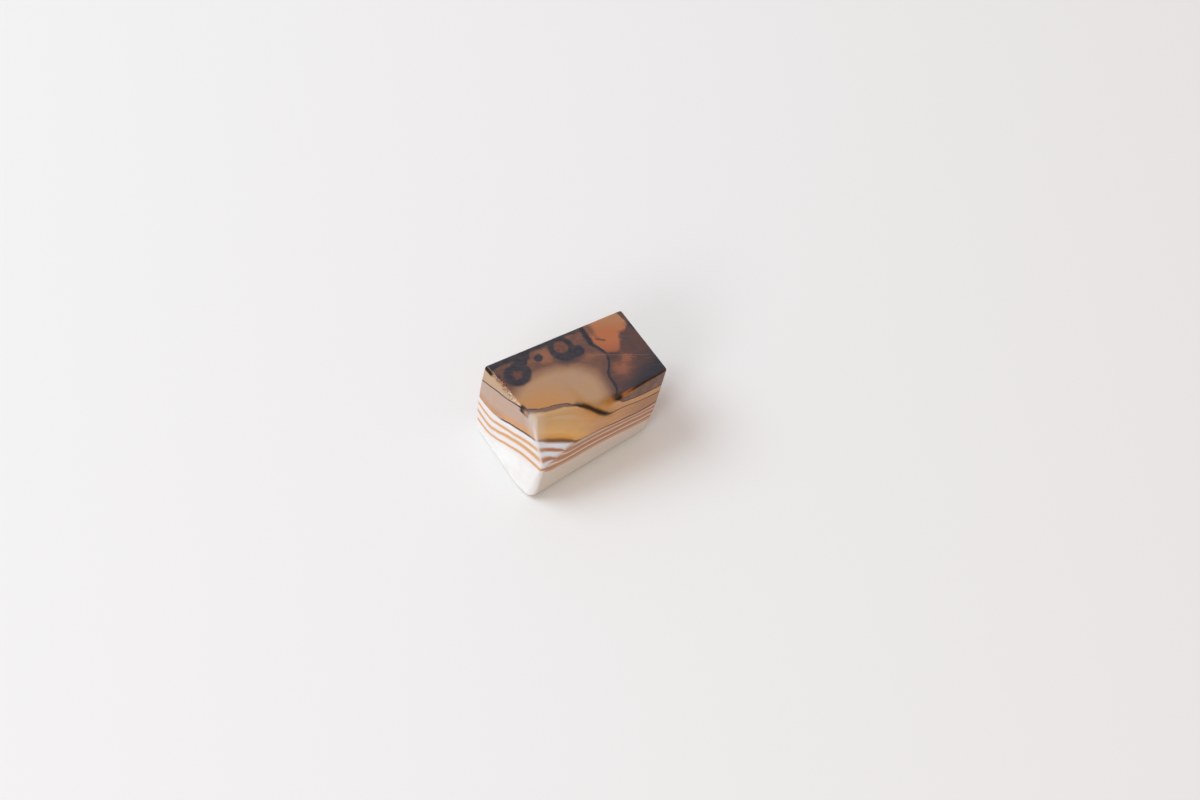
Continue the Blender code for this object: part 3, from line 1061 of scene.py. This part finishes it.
def paint_left_edge(t, place, left_depth):
    """The amber seam beside the chipped edge, its dark far end and the dark spot at its near end."""
    _, y, z = t.apart(place)
    seam = t.within(t.less(left_depth, SEAM_DEPTH), SEAM_HALF_WIDTH, 0.6)
    seam = t.times(t.times(seam, t.between(y, SEAM_STARTS, SEAM_STOPS)), t.rise(z, *SEAM_HEIGHT))
    t.coat(t.times(seam, 0.85), t.mix(t.mottle(place, "seam"), GLOW, DARK_LINE))
    dark = t.times(t.fall(left_depth, *DARK_END_DEPTH), t.rise(z, *DARK_END_HEIGHT))
    dark = t.times(t.rise(y, *DARK_END), dark)
    t.coat(dark, DARK_LINE)
    high = t.rise(z, *BLOT_HEIGHT)
    leaning = t.less(y, t.less(left_depth, BLOT_DEPTH))
    spots = t.spots(leaning, left_depth, BLOT_SPOTS)
    colour = t.mix(t.rise(left_depth, *BLOT_PURPLES), DARK_LINE, PURPLE_LINE)
    t.coat(t.times(spots["blot"], high), colour)
    t.coat(t.times(spots["glow"], t.times(high, 0.8)), GLOW)
    return t.math("MAXIMUM", dark, t.times(spots["dull"], high))


def paint_front_edge(t, x, y, z):
    """The amber spot and the dark seam under the front edge of the top."""
    front = t.fall(y, *FRONT_SKIN)
    spots = t.spots(x, z, FRONT_EDGE_SPOTS)
    t.coat(t.times(spots["glow"], t.times(front, 0.6)), AMBER_GLOW)
    t.coat(t.times(spots["far_glow"], front), GLOW)
    seam = t.within(t.less(z, FRONT_SEAM_HEIGHT), FRONT_SEAM_HALF_WIDTH, 0.6)
    seam = t.times(seam, t.times(t.rise(x, *FRONT_SEAM_STARTS), front))
    t.coat(t.times(seam, 0.9), DARK_LINE)
    wedge = t.times(spots["wedge"], front)
    t.coat(wedge, DARK_LINE)
    return t.math("MAXIMUM", seam, wedge)


def finish_polish(t, place, z, left_depth, window_depth, corner_depth, broken, dull):
    """A frosted corner flat with a painted reflection on and around it, a painted highlight on the
    ridge, faint straight scratches and an uneven gloss.
    """
    # Painted reflection: the pale coat on the corner flat and around it; the flat's frost is also a
    # real rougher finish, in the roughness below
    frost_and_reflection = t.fall(corner_depth, *FROST_DEPTH)
    reflection_surround = t.times(t.fall(corner_depth, *SURROUND_DEPTH), t.rise(z, *SURROUND_HEIGHT))
    t.coat(t.add(t.times(frost_and_reflection, 0.2), t.times(reflection_surround, 0.3)), FROST_AND_REFLECTION)
    # Painted highlight: a pale milky band along the edge between the left end and the window
    ridge_highlight = t.fall(t.math("MAXIMUM", left_depth, window_depth), *RIDGE_HIGHLIGHT_DEPTH)
    ridge_highlight = t.times(ridge_highlight, t.rise(z, *RIDGE_HIGHLIGHT_HEIGHT))
    t.coat(t.times(ridge_highlight, 0.5), MILK)
    across, along = t.along(place, camera_ahead()), t.along(place, camera_side())
    stretched = {0: t.times(along, SCRATCH_STRETCH), 1: t.times(across, SCRATCH_PACKING)}
    scratch = t.rise(t.noise(t.put("CombineXYZ", stretched), 1.0, 3.0), *SCRATCH_LEVELS)
    t.coat(t.times(scratch, 0.06), GLITTER)
    roughness = t.add(t.times(t.noise(place, 0.8, 3.0), UNEVEN_ROUGHNESS), POLISH_ROUGHNESS)
    roughness = t.add(roughness, t.times(scratch, SCRATCH_ROUGHNESS))
    rough = t.math("MAXIMUM", t.math("MAXIMUM", broken, dull), frost_and_reflection)
    roughness = t.add(roughness, t.times(rough, DULL_ROUGHNESS))
    t.feed(t.shader.inputs["Roughness"], roughness)
    gloss = t.less(POLISH_GLOSS, t.times(dull, DULL_GLOSS_LOSS))
    t.feed(t.shader.inputs["Specular IOR Level"], gloss)
    relief = t.less(t.noise(place, 3.0, 4.0), t.times(scratch, SCRATCH_RELIEF))
    bump = {"Strength": RELIEF_STRENGTH, "Distance": RELIEF_DEPTH * MM, "Height": relief}
    t.feed(t.shader.inputs["Normal"], t.put("Bump", bump, "Normal"))


def agate_material(shape):
    material = bpy.data.materials.new("banded_agate")
    material.use_nodes = True
    t = Texture(material)
    place = t.put("VectorMath", {0: t.put("TexCoord", {}, "Object"), 3: 1 / MM}, operation="SCALE")
    x, y, z = t.apart(t.wavering(place, LAYER_WAVER))
    above, count = find_layers(t, x, y, z)
    left_depth = depth_below(t, place, *zip(shape.crown_ways, shape.crown_reaches))
    window_depth = depth_below(t, place, shape.flat("window"))
    front_depth = depth_below(t, place, shape.flat("front"))
    corner_depth = depth_below(t, place, (shape.corner_way, CORNER_FLAT_REACH))
    inner = t.rise(left_depth, *INNER_DEPTH)
    frontal = t.rise(window_depth, *FRONTAL_WINDOW_DEPTH)
    frontal = t.times(t.rise(left_depth, *FRONTAL_LEFT_DEPTH), frontal)
    upper = t.rise(above["dark_2"], *UPPER_BEGINS)
    paint_pale_layers(t, place, x, above, count, frontal, inner)
    paint_honey_layer(t, place, x, y, above, count, inner)
    paint_above(t, place, x, y, above, upper, inner)
    paint_top(t, place, z, above, upper, t.math("MINIMUM", left_depth, front_depth))
    broken = t.put("Attribute", {}, "Fac", attribute_name="broken")
    paint_fracture(t, place, broken)
    dull = paint_dark_lines(t, x, y, above, inner)
    dull = t.math("MAXIMUM", dull, paint_left_edge(t, place, left_depth))
    dull = t.math("MAXIMUM", dull, paint_front_edge(t, x, y, z))
    finish_polish(t, place, z, left_depth, window_depth, corner_depth, broken, dull)
    t.feed(t.shader.inputs["Base Color"], t.colour)
    t.shader.inputs["IOR"].default_value = AGATE_IOR
    t.shader.inputs["Subsurface Weight"].default_value = GLOW_UNDER_SURFACE
    t.shader.inputs["Subsurface Radius"].default_value = GLOW_COLOUR_REACH
    t.shader.inputs["Subsurface Scale"].default_value = GLOW_DISTANCE * MM
    return material


bpy.context.scene.view_settings.view_transform = "Standard"
make_camera()
make_room()
make_light()
make_floor()
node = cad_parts["agate"]
shape = Stone(np.array([vertex.co for vertex in node.data.vertices], float) / MM)
stone = make_stone(node, shape)
stone.data.materials.clear()
stone.data.materials.append(agate_material(shape))
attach(stone, "root")
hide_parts("agate")
